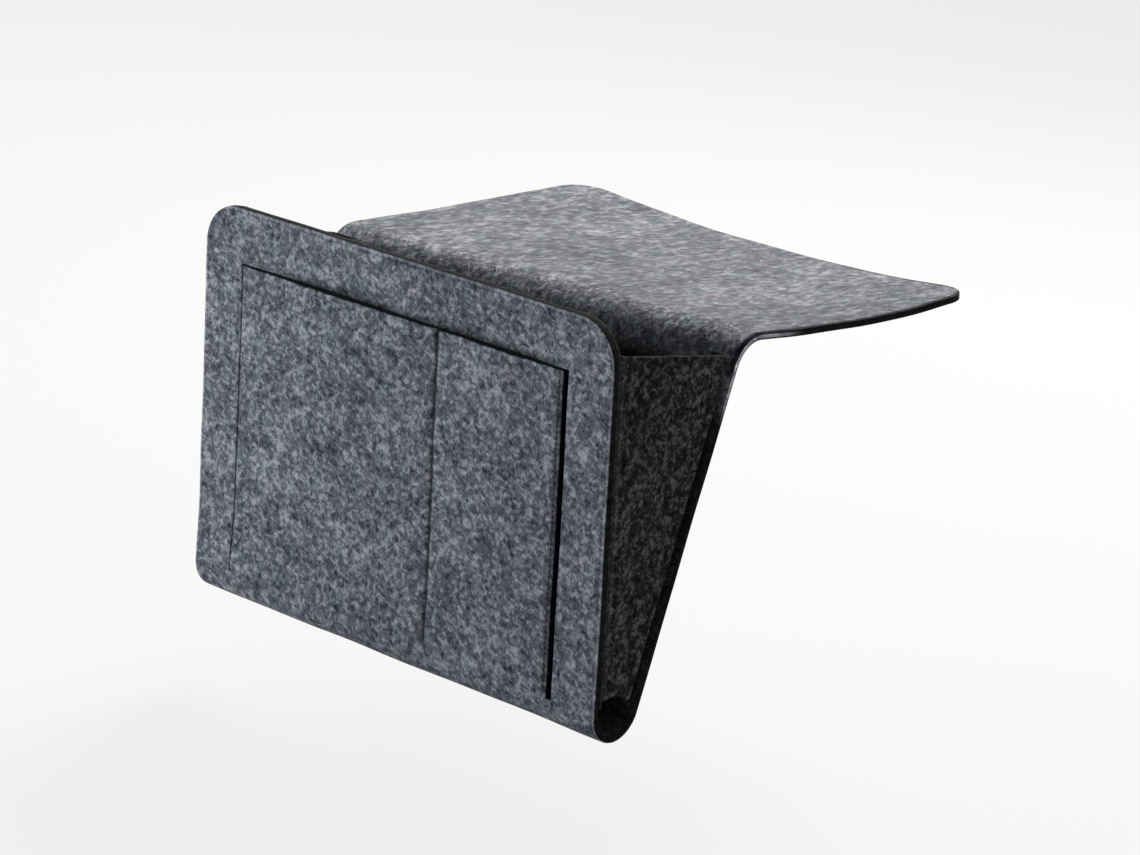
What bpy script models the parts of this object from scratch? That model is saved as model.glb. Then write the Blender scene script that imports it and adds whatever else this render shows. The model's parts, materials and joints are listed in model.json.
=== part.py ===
"""A hanging bedside bag, folded from one long strip of thick felt.

The strip starts as a flap that lies under the mattress, bends down into the back
panel, turns round at the bottom and comes up again as the front panel, which has a
flat pocket cut in it. A thinner lining closes the front from behind, and two side
gussets hold the front and the back apart.

+X is right as seen from the front, +Y points from the front towards the bed and
+Z is up. The origin is the middle of the flap's underside, where the bed holds it.
The flap is shown as it hangs when nothing lies on it.
"""
import math

import bmesh
import bpy

# The felts
FELT = 0.0045
LINING_FELT = 0.0030
GUSSET_FELT = 0.0030
SEAT = 0.0003
SOFT_EDGE = 0.0007

# The strip, measured along its straight stretches
WIDTH = 0.330
FLAP_LENGTH = 0.232
BACK_HEIGHT = 0.2185
FRONT_HEIGHT = 0.2375
FLAP_CORNER = 0.026
FRONT_CORNER = 0.027

# How the free flap sags: its middle lies this much lower than the bend, the middle of
# its far edge dips again and its far corners rise
FLAP_SAG = 0.0052
FAR_EDGE_DIP = 0.0040
FAR_CORNER_RISE = 0.0040
FLAT_MIDDLE_SHARES = (0.42, 0.58)
SAG_SHAPE = 1.25

# The two folds, and how far the two panels lean out of the vertical
BEND_INNER_RADIUS = 0.008
BOTTOM_OUTER_RADIUS = 0.0205
BACK_LEAN = math.radians(16.5)
FRONT_LEAN = math.radians(4.0)
MOUTH_ANGLE = BACK_LEAN + FRONT_LEAN
FOLD_AXIS_DROP = 0.0115

# The pocket, cut out of the front panel on three sides
POCKET_LEFT_MARGIN = 0.0335
POCKET_RIGHT_MARGIN = 0.0330
POCKET_TOP_MARGIN = 0.0350
POCKET_FOOT = 0.0040
POCKET_CORNER = 0.0008
SLIT = 0.0006
MOUTH_GAP = 0.0010
SLOT_WIDTH = 0.0040

# The lining, a little smaller all round than the front panel
LINING_INSET = 0.0008
LINING_FOOT = 0.0040

# The gussets, measured from the middle of the bottom fold
GUSSET_INSET = 0.0025
GUSSET_TOP = 0.2090
GUSSET_BOTTOM = 0.0030
GUSSET_FOLD_RADIUS = 0.0045
GUSSET_FLANGE = 0.0140
CABLE_NOTCH_RADIUS = 0.0160
CABLE_NOTCH_DROP = 0.0090

# How finely the round stretches and the sag are cut
CORNER_STEPS = 10
SAG_ROWS = 3
SAG_COLUMNS = 8
BEND_STEPS = 12
BOTTOM_STEPS = 20
GUSSET_FOLD_STEPS = 5
NOTCH_SIDES = 48
CUTTER_OVERRUN = 0.010
WELD_DISTANCE = 0.000005
ANGLE_TOLERANCE = math.radians(0.2)
RIM_ANGLE = math.radians(60.0)

# Felt colours, as red, green and blue
GREY = (0.160, 0.163, 0.190)
DARK_GREY = (0.040, 0.045, 0.042)
CHARCOAL = (0.034, 0.033, 0.037)
FELT_ROUGHNESS = 0.95

BAG_NAME = "hanging_bedside_bag"
HALF_WIDTH = WIDTH / 2
HALF_MOUTH = MOUTH_ANGLE / 2
RIGHT_ANGLE = math.pi / 2


def clear_scene():
    for obj in list(bpy.data.objects):
        bpy.data.objects.remove(obj)


def new_collection(name):
    collection = bpy.data.collections.new(name)
    bpy.context.scene.collection.children.link(collection)
    return collection


def felt_material(name, colour):
    material = bpy.data.materials.new(name)
    material.use_nodes = True
    shader = material.node_tree.nodes["Principled BSDF"]
    shader.inputs["Base Color"].default_value = (*colour, 1.0)
    shader.inputs["Roughness"].default_value = FELT_ROUGHNESS
    shader.inputs["Metallic"].default_value = 0.0
    return material


def new_empty(name, location, x_rotation, parent=None):
    """An empty whose X axis is a fold line, with +Z up along the panel it carries."""
    empty = bpy.data.objects.new(name, None)
    empty.location = location
    empty.rotation_euler = (x_rotation, 0.0, 0.0)
    empty.parent = parent
    bag.objects.link(empty)
    return empty


def felt_object(name, mesh, material, parent, location=(0.0, 0.0, 0.0), x_rotation=0.0):
    mesh.materials.clear()
    mesh.materials.append(material)
    obj = bpy.data.objects.new(name, mesh)
    obj.location = location
    obj.rotation_euler = (x_rotation, 0.0, 0.0)
    obj.parent = parent
    bag.objects.link(obj)
    return obj


def corner_arc(centre_x, centre_y, radius, start):
    """Points of a quarter circle that starts at the given angle."""
    points = []
    for step in range(CORNER_STEPS + 1):
        angle = start + RIGHT_ANGLE * step / CORNER_STEPS
        points.append((centre_x + radius * math.cos(angle), centre_y + radius * math.sin(angle)))
    return points


def panel_outline(left, right, bottom, top, top_radius, bottom_radius=0.0):
    """A rectangle with round top corners, and round bottom corners where asked."""
    points = []
    if bottom_radius:
        points += corner_arc(left + bottom_radius, bottom + bottom_radius, bottom_radius, math.pi)
        points += corner_arc(right - bottom_radius, bottom + bottom_radius, bottom_radius, -RIGHT_ANGLE)
    else:
        points += [(left, bottom), (right, bottom)]
    points += corner_arc(right - top_radius, top - top_radius, top_radius, 0.0)
    points += corner_arc(left + top_radius, top - top_radius, top_radius, RIGHT_ANGLE)
    return points


def sheet_mesh(name, outlines, thickness):
    """Fill flat outlines, give them a thickness and weld the result into one closed mesh."""
    curve = bpy.data.curves.new(name + "_outline", "CURVE")
    curve.dimensions = "2D"
    curve.fill_mode = "BOTH"
    curve.extrude = thickness / 2
    for outline in outlines:
        spline = curve.splines.new("POLY")
        spline.points.add(len(outline) - 1)
        for point, (x, y) in zip(spline.points, outline):
            point.co = (x, y, 0.0, 1.0)
        spline.use_cyclic_u = True
    source = bpy.data.objects.new(name + "_outline", curve)
    bag.objects.link(source)
    evaluated = source.evaluated_get(bpy.context.evaluated_depsgraph_get())
    mesh = bpy.data.meshes.new_from_object(evaluated)
    bpy.data.objects.remove(source)
    bpy.data.curves.remove(curve)
    mesh.name = name
    work = bmesh.new()
    work.from_mesh(mesh)
    bmesh.ops.remove_doubles(work, verts=work.verts, dist=WELD_DISTANCE)
    bmesh.ops.recalc_face_normals(work, faces=work.faces)
    work.to_mesh(mesh)
    work.free()
    return mesh


def across(axis, place):
    """A straight end of a panel, at one place along an axis of its mesh."""
    return lambda point: abs(point[axis] - place) < SOFT_EDGE / 2


def along_radius(angle):
    """A straight end of a fold, on the radius at one angle."""
    return lambda point: abs(math.remainder(math.atan2(point.y, point.x) - angle, math.tau)) < ANGLE_TOLERANCE


def soften_edges(obj, split_ends=()):
    """Round the cut edges. A split end meets the next stretch of the strip and stays square."""
    mesh = obj.data
    weights = mesh.attributes.new("bevel_weight_edge", "FLOAT", "EDGE")
    normals = [[] for _ in mesh.edges]
    edge_of = {edge.key: edge.index for edge in mesh.edges}
    for polygon in mesh.polygons:
        for key in polygon.edge_keys:
            normals[edge_of[key]].append(polygon.normal)
    for edge in mesh.edges:
        first, second = normals[edge.index]
        ends = [mesh.vertices[index].co for index in edge.vertices]
        is_split = any(all(is_on_end(end) for end in ends) for is_on_end in split_ends)
        is_rim = first.angle(second) > RIM_ANGLE
        weights.data[edge.index].value = 1.0 if is_rim and not is_split else 0.0
    bevel = obj.modifiers.new("soft cut edge", "BEVEL")
    bevel.limit_method = "WEIGHT"
    bevel.width = SOFT_EDGE
    bevel.segments = 2


def make_fold(name, parent, location, outer_radius, start, end, steps):
    """A stretch of the strip that runs round a fold: a sector of a ring, as long as the
    strip is wide. Its angles turn about +X and start at +Y."""
    angles = [start + (end - start) * step / steps for step in range(steps + 1)]
    outline = [(outer_radius * math.cos(angle), outer_radius * math.sin(angle)) for angle in angles]
    inner_radius = outer_radius - FELT
    outline += [(inner_radius * math.cos(angle), inner_radius * math.sin(angle)) for angle in reversed(angles)]
    mesh = sheet_mesh(name, [outline], WIDTH)
    fold = felt_object(name, mesh, outer_felt, parent, location)
    fold.rotation_euler = (RIGHT_ANGLE, 0.0, RIGHT_ANGLE)
    soften_edges(fold, [along_radius(start), along_radius(end)])


def thicken(obj, thickness):
    """Give an open skin its felt thickness, on the side away from its normals."""
    solidify = obj.modifiers.new("felt thickness", "SOLIDIFY")
    solidify.thickness = thickness
    solidify.offset = -1.0
    solidify.use_even_offset = True


def flap_height(x, y):
    """How high the free flap lies over its flat middle, at a place on it."""
    share = y / FLAP_LENGTH + 1 / 2
    flat_start, flat_end = FLAT_MIDDLE_SHARES
    if share < flat_start:
        return FLAP_SAG * (1 - share / flat_start) ** SAG_SHAPE
    if share > flat_end:
        outwards = (x / HALF_WIDTH) ** 2
        far = ((share - flat_end) / (1 - flat_end)) ** SAG_SHAPE
        return far * (FAR_CORNER_RISE * outwards - FAR_EDGE_DIP * (1 - outwards))
    return 0.0


def sag_lines():
    """Where the flap is divided so that it can sag, as planes with a point and a normal."""
    flat_start, flat_end = FLAT_MIDDLE_SHARES
    shares = [flat_start * row / SAG_ROWS for row in range(1, SAG_ROWS + 1)]
    shares += [flat_end + (1 - flat_end) * row / SAG_ROWS for row in range(SAG_ROWS)]
    lines = [((0.0, FLAP_LENGTH * (share - 1 / 2), 0.0), (0.0, 1.0, 0.0)) for share in shares]
    for column in range(1, SAG_COLUMNS):
        lines.append(((WIDTH * (column / SAG_COLUMNS - 1 / 2), 0.0, 0.0), (1.0, 0.0, 0.0)))
    return lines


def sag(mesh):
    """Divide a flat flap and lower or raise each of its points."""
    work = bmesh.new()
    work.from_mesh(mesh)
    bmesh.ops.dissolve_limit(work, angle_limit=ANGLE_TOLERANCE, verts=work.verts, edges=work.edges)
    for point, normal in sag_lines():
        everything = work.verts[:] + work.edges[:] + work.faces[:]
        bmesh.ops.bisect_plane(work, geom=everything, plane_co=point, plane_no=normal)
    for vertex in work.verts:
        vertex.co.z += flap_height(vertex.co.x, vertex.co.y)
    bmesh.ops.triangulate(work, faces=work.faces)
    work.to_mesh(mesh)
    work.free()


def make_flap():
    """The mattress flap, with its far corners rounded."""
    start = -FLAP_LENGTH / 2
    outline = panel_outline(-HALF_WIDTH, HALF_WIDTH, start, FLAP_LENGTH / 2, FLAP_CORNER)
    mesh = sheet_mesh("mattress_flap", [outline], FELT)
    sag(mesh)
    flap = felt_object("mattress_flap", mesh, outer_felt, None, (0.0, 0.0, FELT / 2))
    soften_edges(flap, [across(1, start)])


def make_flap_bend():
    """The bend that leads from the flap down into the back panel."""
    place = (0.0, -FLAP_LENGTH / 2, bend_height)
    gap = SEAT / BEND_INNER_RADIUS
    start = RIGHT_ANGLE + gap
    end = math.pi - BACK_LEAN - gap
    make_fold("flap_bend", None, place, BEND_INNER_RADIUS + FELT, start, end, BEND_STEPS)


def make_back_panel():
    """The back panel hangs from the bend and runs down to the bottom fold."""
    outline = panel_outline(-HALF_WIDTH, HALF_WIDTH, -BACK_HEIGHT, 0.0, 0.0)
    mesh = sheet_mesh("back_panel", [outline], FELT)
    middle = -BEND_INNER_RADIUS - FELT / 2
    back = felt_object("back_panel", mesh, outer_felt, flap_fold_axis, (0.0, middle, 0.0), RIGHT_ANGLE)
    soften_edges(back, [across(1, -BACK_HEIGHT), across(1, 0.0)])


def make_bottom_fold():
    """The round turn at the bottom, from the back panel to the front panel."""
    gap = SEAT / (BOTTOM_OUTER_RADIUS - FELT)
    start = HALF_MOUTH - math.pi + gap
    end = -HALF_MOUTH - gap
    make_fold("bottom_fold", bag_middle, (0.0, 0.0, 0.0), BOTTOM_OUTER_RADIUS, start, end, BOTTOM_STEPS)


def make_front_panel():
    """The front panel, with the window that the pocket panel is cut from."""
    outline = panel_outline(-HALF_WIDTH, HALF_WIDTH, 0.0, FRONT_HEIGHT, FRONT_CORNER)
    window = panel_outline(
        pocket_left - SLIT,
        pocket_right + SLOT_WIDTH,
        POCKET_FOOT - SEAT,
        pocket_top + MOUTH_GAP,
        POCKET_CORNER,
        POCKET_CORNER,
    )
    mesh = sheet_mesh("front_panel", [outline, window], FELT)
    place = (0.0, front_outer_face + FELT / 2, front_foot)
    front = felt_object("front_panel", mesh, outer_felt, front_fold_axis, place, RIGHT_ANGLE)
    soften_edges(front, [across(1, 0.0), across(1, POCKET_FOOT - SEAT)])


def make_pocket_panel():
    """The pocket panel, flush in its window and open along the top."""
    outline = panel_outline(pocket_left, pocket_right, POCKET_FOOT, pocket_top, POCKET_CORNER)
    mesh = sheet_mesh("pocket_panel", [outline], FELT)
    place = (0.0, front_outer_face + FELT / 2, front_foot)
    pocket = felt_object("pocket_panel", mesh, outer_felt, front_fold_axis, place, RIGHT_ANGLE)
    soften_edges(pocket, [across(1, POCKET_FOOT)])


def make_front_lining():
    """The thinner sheet behind the front panel, which closes the pocket."""
    outline = panel_outline(
        -HALF_WIDTH + LINING_INSET,
        HALF_WIDTH - LINING_INSET,
        LINING_FOOT,
        FRONT_HEIGHT - LINING_INSET,
        FRONT_CORNER - LINING_INSET,
    )
    mesh = sheet_mesh("front_lining", [outline], LINING_FELT)
    place = (0.0, front_outer_face + FELT + SEAT + LINING_FELT / 2, front_foot)
    lining = felt_object("front_lining", mesh, lining_felt, front_fold_axis, place, RIGHT_ANGLE)
    soften_edges(lining)


def gusset_section(height):
    """The gusset's outer skin at a height above the middle of the bottom fold, as x and y:
    the flange on the lining, the web along the side, the flange on the back panel."""
    web_x = HALF_WIDTH - GUSSET_INSET
    front_y = -(lining_reach + SEAT) / math.cos(HALF_MOUTH) - height * math.tan(HALF_MOUTH) + 2 * SEAT
    back_y = (BOTTOM_OUTER_RADIUS - FELT) / math.cos(HALF_MOUTH) + height * math.tan(HALF_MOUTH) - SEAT
    points = [(web_x - GUSSET_FLANGE, front_y)]
    for side, edge_y, first_angle in ((1, front_y, -RIGHT_ANGLE), (-1, back_y, 0.0)):
        for step in range(GUSSET_FOLD_STEPS + 1):
            angle = first_angle + RIGHT_ANGLE * step / GUSSET_FOLD_STEPS
            x = web_x - GUSSET_FOLD_RADIUS + GUSSET_FOLD_RADIUS * math.cos(angle)
            y = edge_y + side * GUSSET_FOLD_RADIUS + GUSSET_FOLD_RADIUS * math.sin(angle)
            points.append((x, y))
    points.append((web_x - GUSSET_FLANGE, back_y))
    return points


def make_cable_notch():
    """The round cutter that opens a way for a charging lead under each gusset."""
    work = bmesh.new()
    length = WIDTH + 2 * CUTTER_OVERRUN
    bmesh.ops.create_cone(
        work,
        cap_ends=True,
        segments=NOTCH_SIDES,
        radius1=CABLE_NOTCH_RADIUS,
        radius2=CABLE_NOTCH_RADIUS,
        depth=length,
    )
    mesh = bpy.data.meshes.new("cable_notch")
    work.to_mesh(mesh)
    work.free()
    notch = bpy.data.objects.new("cable_notch", mesh)
    notch.parent = bag_middle
    notch.location = (0.0, 0.0, -CABLE_NOTCH_DROP)
    notch.rotation_euler = (0.0, RIGHT_ANGLE, 0.0)
    notch.hide_render = True
    notch.display_type = "WIRE"
    cutters.objects.link(notch)
    return notch


def make_gusset(name, side, notch):
    """One gusset: a tapering panel of felt with a flange folded in along each edge."""
    work = bmesh.new()
    rows = []
    for height in (GUSSET_BOTTOM, GUSSET_TOP):
        rows.append([work.verts.new((side * x, y, height)) for x, y in gusset_section(height)])
    lower, upper = rows
    for index in range(len(lower) - 1):
        corners = [lower[index], lower[index + 1], upper[index + 1], upper[index]]
        work.faces.new(corners if side > 0 else list(reversed(corners)))
    mesh = bpy.data.meshes.new(name)
    work.to_mesh(mesh)
    work.free()
    gusset = felt_object(name, mesh, gusset_felt, bag_middle)
    thicken(gusset, GUSSET_FELT)
    cut = gusset.modifiers.new("cable notch", "BOOLEAN")
    cut.operation = "DIFFERENCE"
    cut.solver = "EXACT"
    cut.object = notch


clear_scene()
bag = new_collection(BAG_NAME)
cutters = new_collection(BAG_NAME + "_cutters")

outer_felt = felt_material("grey_felt", GREY)
lining_felt = felt_material("lining_felt", DARK_GREY)
gusset_felt = felt_material("charcoal_felt", CHARCOAL)

# The back panel swings about the middle of the bend
bend_height = FLAP_SAG - BEND_INNER_RADIUS
flap_fold_axis = new_empty("flap_fold_axis", (0.0, -FLAP_LENGTH / 2, bend_height), -BACK_LEAN)

# The middle of the bottom fold, with +Z halfway between the two panels
bag_middle = new_empty(
    "bag_middle",
    (0.0, -BEND_INNER_RADIUS - BOTTOM_OUTER_RADIUS, -BACK_HEIGHT),
    HALF_MOUTH,
    flap_fold_axis,
)

# The front panel swings about a line inside the bottom fold, where the felt gives
front_fold_axis = new_empty("front_fold_axis", (0.0, 0.0, -FOLD_AXIS_DROP), HALF_MOUTH, bag_middle)
front_foot = FOLD_AXIS_DROP * math.cos(HALF_MOUTH)
front_outer_face = FOLD_AXIS_DROP * math.sin(HALF_MOUTH) - BOTTOM_OUTER_RADIUS
lining_reach = BOTTOM_OUTER_RADIUS - FELT - SEAT - LINING_FELT

pocket_left = -HALF_WIDTH + POCKET_LEFT_MARGIN
pocket_right = HALF_WIDTH - POCKET_RIGHT_MARGIN - SLOT_WIDTH
pocket_top = FRONT_HEIGHT - POCKET_TOP_MARGIN

make_flap()
make_flap_bend()
make_back_panel()
make_bottom_fold()
make_front_panel()
make_pocket_panel()
make_front_lining()
cable_notch = make_cable_notch()
make_gusset("side_gusset_right", 1, cable_notch)
make_gusset("side_gusset_left", -1, cable_notch)
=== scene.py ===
# %% [markdown]
# # A bedside bag of thick felt
# The bag hangs from a wide flap that a mattress holds down. One strip of felt makes the flap, the
# back, the round bottom and the front, and smaller pieces close its sides. This lesson loads the
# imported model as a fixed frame, cuts each piece of felt as a flat sheet, bends it along its route
# and gives it a felt finish. Everything is in metres, in the frame's own axes.

# %% Load the frame
import json
import math

import bmesh
import bpy
import numpy as np
from mathutils import Matrix, Vector
from mathutils.bvhtree import BVHTree


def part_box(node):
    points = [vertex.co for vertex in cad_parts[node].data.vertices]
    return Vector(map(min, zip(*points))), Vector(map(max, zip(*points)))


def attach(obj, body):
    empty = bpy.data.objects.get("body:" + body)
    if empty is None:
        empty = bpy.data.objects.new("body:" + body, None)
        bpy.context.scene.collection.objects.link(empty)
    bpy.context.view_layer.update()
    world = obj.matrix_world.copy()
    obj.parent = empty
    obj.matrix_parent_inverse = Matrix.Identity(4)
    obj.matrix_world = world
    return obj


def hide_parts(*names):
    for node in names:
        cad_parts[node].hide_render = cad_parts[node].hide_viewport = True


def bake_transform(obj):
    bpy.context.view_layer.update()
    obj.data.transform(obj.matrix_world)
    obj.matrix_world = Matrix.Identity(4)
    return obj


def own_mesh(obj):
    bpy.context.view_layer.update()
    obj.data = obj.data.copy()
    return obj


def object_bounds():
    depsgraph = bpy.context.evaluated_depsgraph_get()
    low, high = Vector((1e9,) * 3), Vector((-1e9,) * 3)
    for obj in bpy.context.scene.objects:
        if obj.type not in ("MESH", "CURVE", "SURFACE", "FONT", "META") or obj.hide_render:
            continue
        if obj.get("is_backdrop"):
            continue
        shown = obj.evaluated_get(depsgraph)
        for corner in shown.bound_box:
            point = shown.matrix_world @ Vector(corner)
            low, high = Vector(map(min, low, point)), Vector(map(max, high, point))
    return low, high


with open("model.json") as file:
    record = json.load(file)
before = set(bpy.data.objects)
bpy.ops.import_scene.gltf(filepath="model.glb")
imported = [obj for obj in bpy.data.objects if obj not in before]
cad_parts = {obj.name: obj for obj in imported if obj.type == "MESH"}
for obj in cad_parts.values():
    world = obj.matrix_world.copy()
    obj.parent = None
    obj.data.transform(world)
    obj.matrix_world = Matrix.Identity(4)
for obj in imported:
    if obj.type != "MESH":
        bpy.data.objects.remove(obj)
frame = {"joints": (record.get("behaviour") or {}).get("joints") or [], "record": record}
cad_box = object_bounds()
MM = 0.001
joints = {joint["name"]: joint for joint in frame["joints"]}
mounts = {mount["name"]: mount for mount in frame["record"]["mounts"]}

# %% [markdown]
# ## The camera
# The view decides what shows, so the camera comes first. It stands to the right of the bag and a
# little above it, far enough away for weak perspective, and leans by a few degrees, because the
# bag hangs askew in its picture. The lens follows from the distance and the width of the view.

# %% Set the camera
VIEW_AZIMUTH = math.radians(39.19)
VIEW_ELEVATION = math.radians(16.10)
VIEW_ROLL = math.radians(6.12)
VIEW_DISTANCE = 1.9625
VIEW_TARGET = Vector(joints["flap_fold"]["pos_m"]) + Vector((0.13495, -0.12125, -0.03349))
VIEW_WIDTH = 0.6458
SENSOR_WIDTH = 36.0


def add_object(name, data):
    """A new object in the scene, made of that data."""
    made = bpy.data.objects.new(name, data)
    bpy.context.scene.collection.objects.link(made)
    return made


def set_camera():
    back = Vector((
        math.sin(VIEW_AZIMUTH) * math.cos(VIEW_ELEVATION),
        -math.cos(VIEW_AZIMUTH) * math.cos(VIEW_ELEVATION),
        math.sin(VIEW_ELEVATION),
    ))
    right = Vector((math.cos(VIEW_AZIMUTH), math.sin(VIEW_AZIMUTH), 0.0))
    turn = Matrix((right, back.cross(right), back)).transposed()
    lens = bpy.data.cameras.new("camera")
    lens.sensor_width = SENSOR_WIDTH
    lens.lens = SENSOR_WIDTH * VIEW_DISTANCE / VIEW_WIDTH
    camera = add_object("camera", lens)
    roll = Matrix.Rotation(VIEW_ROLL, 3, "Z")
    camera.matrix_world = Matrix.Translation(VIEW_TARGET + back * VIEW_DISTANCE) @ (turn @ roll).to_4x4()
    bpy.context.scene.camera = camera
    print("lens:", round(lens.lens, 1), "mm on a", SENSOR_WIDTH, "mm sensor")


set_camera()

# %% [markdown]
# ## The route of the strip
# Seen from the side, the long strip runs flat along the flap, turns down over a tight bend, runs
# down the back, turns round the bottom and climbs up the front. Five stretches say it all: each
# has a length and an angle that it turns by. Adding up short steps along them gives the place and
# the facing of the felt's middle at any distance from the flap's far edge. The frame gives most
# sizes, so that the sheet lands where the solid parts are.

# %% Read the sizes from the frame
flap_low, flap_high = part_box("mattress_flap")
FELT = mounts["flap_top"]["pos_m"][2] - mounts["flap_underside"]["pos_m"][2]
HALF_WIDTH = flap_high.x
bend_centre = Vector(joints["flap_fold"]["pos_m"])
SOLID_BEND = 8 * MM + FELT / 2
BEND_EASE = 12 * MM
back_facing = Vector(mounts["back_rear_face"]["axis"])
BACK_LEAN = math.atan2(-back_facing.z, back_facing.y)
BEND_TURN = math.pi / 2 - BACK_LEAN
BEND_RADIUS = SOLID_BEND + BEND_EASE
EASE_TAKES = BEND_EASE * math.tan(BEND_TURN / 2)
FLAP_LENGTH = flap_high.y - flap_low.y - EASE_TAKES
BACK_LENGTH = 218.5 * MM - EASE_TAKES
FRONT_LENGTH = 237.5 * MM
FRONT_LEAN = math.radians(4)
FOLD_RADIUS = 20.5 * MM - FELT / 2
FOLD_TURN = math.pi - BACK_LEAN - FRONT_LEAN
ROUTE = (
    (FLAP_LENGTH, 0.0),
    (BEND_RADIUS * BEND_TURN, BEND_TURN),
    (BACK_LENGTH, 0.0),
    (FOLD_RADIUS * FOLD_TURN, -FOLD_TURN),
    (FRONT_LENGTH, 0.0),
)
FLAP_END, BEND_END, BACK_END, FOLD_END, FRONT_END = np.cumsum([length for length, _ in ROUTE])
print("strip:", [round(size / MM, 1) for size in (FRONT_END, 2 * HALF_WIDTH, FELT)], "mm")

# %% Walk along the route
ROUTE_STEP = 0.25 * MM


def walk_route():
    """Distances, side-on places and headings of the strip's middle, a short step apart."""
    steps = []
    for length, turn in ROUTE:
        count = math.ceil(length / ROUTE_STEP)
        steps += [(length / count, turn / count)] * count
    length, turn = np.array(steps).T
    heading = math.pi + np.concatenate([[0.0], np.cumsum(turn)])
    middle = heading[:-1] + turn / 2
    y = flap_high.y + np.concatenate([[0.0], np.cumsum(length * np.cos(middle))])
    z = bend_centre.z + SOLID_BEND + np.concatenate([[0.0], np.cumsum(length * np.sin(middle))])
    return np.concatenate([[0.0], np.cumsum(length)]), y, z, heading


route_at, route_y, route_z, route_heading = walk_route()
fold_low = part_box("bottom_fold")[0].z
print("lowest point is", round((route_z.min() - FELT / 2 - fold_low) / MM, 2), "mm off the frame's")

# %% [markdown]
# ## How the felt gives
# Thick felt stays smooth but never quite flat. The free flap sags between its ends and its far
# corners curl up. The pocket stands a little proud of the front between its seams, and the felt
# above the pocket's mouth leans in. Each of these is a smooth height over the flat sheet, so one
# function can add them all, and two sheets that meet get the same height where they meet. Three
# more effects move points along the sheet: the left end of the bend slides down, the bag widens
# towards its bottom, and the pocket's slit slants outward on its way down.

# %% Mark the pocket on the strip
POCKET_LEFT, POCKET_RIGHT = (corner.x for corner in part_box("pocket_panel"))
SLIT = 0.5 * MM
SLIT_SKEW = 2.2 * MM
SLOT = 4 * MM
MOUTH_GAP = 1.1 * MM
POCKET_FOOT = FOLD_END + 0.5 * MM
POCKET_MOUTH = FRONT_END - 35.5 * MM
DIVIDER = 30 * MM

# %% Say how each stretch gives
FLAP_SAG = 3.0 * MM
FLAP_SAG_SKEW = 1.5 * MM
FAR_EDGE_DIP = 10.2 * MM
FAR_CORNER_DROP = 1.4 * MM
FAR_CORNER_SKEW = 0.6 * MM
LEFT_SLUMP = 7.3 * MM
SLUMP_FADES_AT = BACK_END - 60 * MM
LEFT_SWELL = 2.6 * MM
SWELL_ALONG = (BACK_END - 30 * MM, FOLD_END + 50 * MM)
BOTTOM_SPREAD = 0.010
LIP_DIP = 2.2 * MM
LIP_REACH = 10 * MM
LIP_LEFT = (POCKET_LEFT - 2 * MM, POCKET_LEFT + 60 * MM)
LIP_RIGHT = (-POCKET_RIGHT, -POCKET_RIGHT + 30 * MM)
POCKET_BULGE = 1.3 * MM
RIGHT_BULGE = 0.8 * POCKET_BULGE
SEAM_PULL = 1.3 * MM
SEAM_PULL_WIDTH = 1.8 * MM
SEAM_PULL_FROM = (POCKET_FOOT, POCKET_FOOT + 8 * MM)
WAVER = 0.2 * MM
WAVES = ((1.0, 47, 31, 1.0), (0.7, 83, -59, 2.2), (0.5, 29, 101, 0.0))


def ramp(value, low, high):
    """0 below low, 1 above high, and straight between them."""
    return np.clip((value - low) / (high - low), 0.0, 1.0)


def hump(value, low, high):
    """A smooth hump that is 0 at low and high, and outside them, and 1 halfway."""
    return np.sin(np.pi * ramp(value, low, high)) ** 2


def smooth(value, low, high):
    """0 below low, 1 above high, with a soft step between them."""
    share = ramp(value, low, high)
    return share * share * (3 - 2 * share)


def waver(x, v):
    """Slight unevenness that every piece of felt has."""
    waves = (share * np.sin(across * x + along * v + shift) for share, across, along, shift in WAVES)
    return WAVER * sum(waves)


def flap_give(x, v):
    """Sag of the free flap: along its length, and in the middle of its far edge."""
    from_bend = np.clip(1 - v / FLAP_LENGTH, 0.0, 1.0)
    across = x / HALF_WIDTH
    sag = (FLAP_SAG + FLAP_SAG_SKEW * across) * np.sin(np.pi * from_bend)
    corners = (FAR_CORNER_DROP - FAR_CORNER_SKEW * across) * across ** 2
    dip = (FAR_EDGE_DIP * (1 - across ** 2) + corners) * from_bend ** 2
    return -(sag + dip) * (v < FLAP_END)


def swell_give(x, v):
    """The bottom fold stands out a little more on the left."""
    return -LEFT_SWELL * (1 - x / HALF_WIDTH) / 2 * hump(v, *SWELL_ALONG)


def lip_give(x, v):
    """The felt above the mouth leans in towards it."""
    above = np.exp(-np.clip(v - POCKET_MOUTH, 0.0, None) / LIP_REACH)
    below = np.exp(-np.clip(POCKET_MOUTH - v, 0.0, None) / LIP_REACH)
    return LIP_DIP * above * below * smooth(x, *LIP_LEFT) * smooth(-x, *LIP_RIGHT)


def strip_give(x, v):
    """Height of the strip's middle over its route, towards the flap's top and the bag's inside."""
    on_front = smooth(v, BACK_END, FOLD_END + 10 * MM)
    return flap_give(x, v) + swell_give(x, v) + lip_give(x, v) * on_front + waver(x, v)


def pocket_give(x, v):
    """The pocket stands proud between its seams, and is pulled in along them."""
    up = smooth(v, POCKET_FOOT, POCKET_MOUTH)
    left_half = hump(x, POCKET_LEFT, DIVIDER)
    right_half = hump(x, DIVIDER, POCKET_RIGHT)
    pull = np.exp(-((x - DIVIDER) / SEAM_PULL_WIDTH) ** 2) * smooth(v, *SEAM_PULL_FROM)
    proud = up * (POCKET_BULGE * left_half + RIGHT_BULGE * right_half)
    return swell_give(x, v) + waver(x, v) - proud + SEAM_PULL * pull


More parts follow.
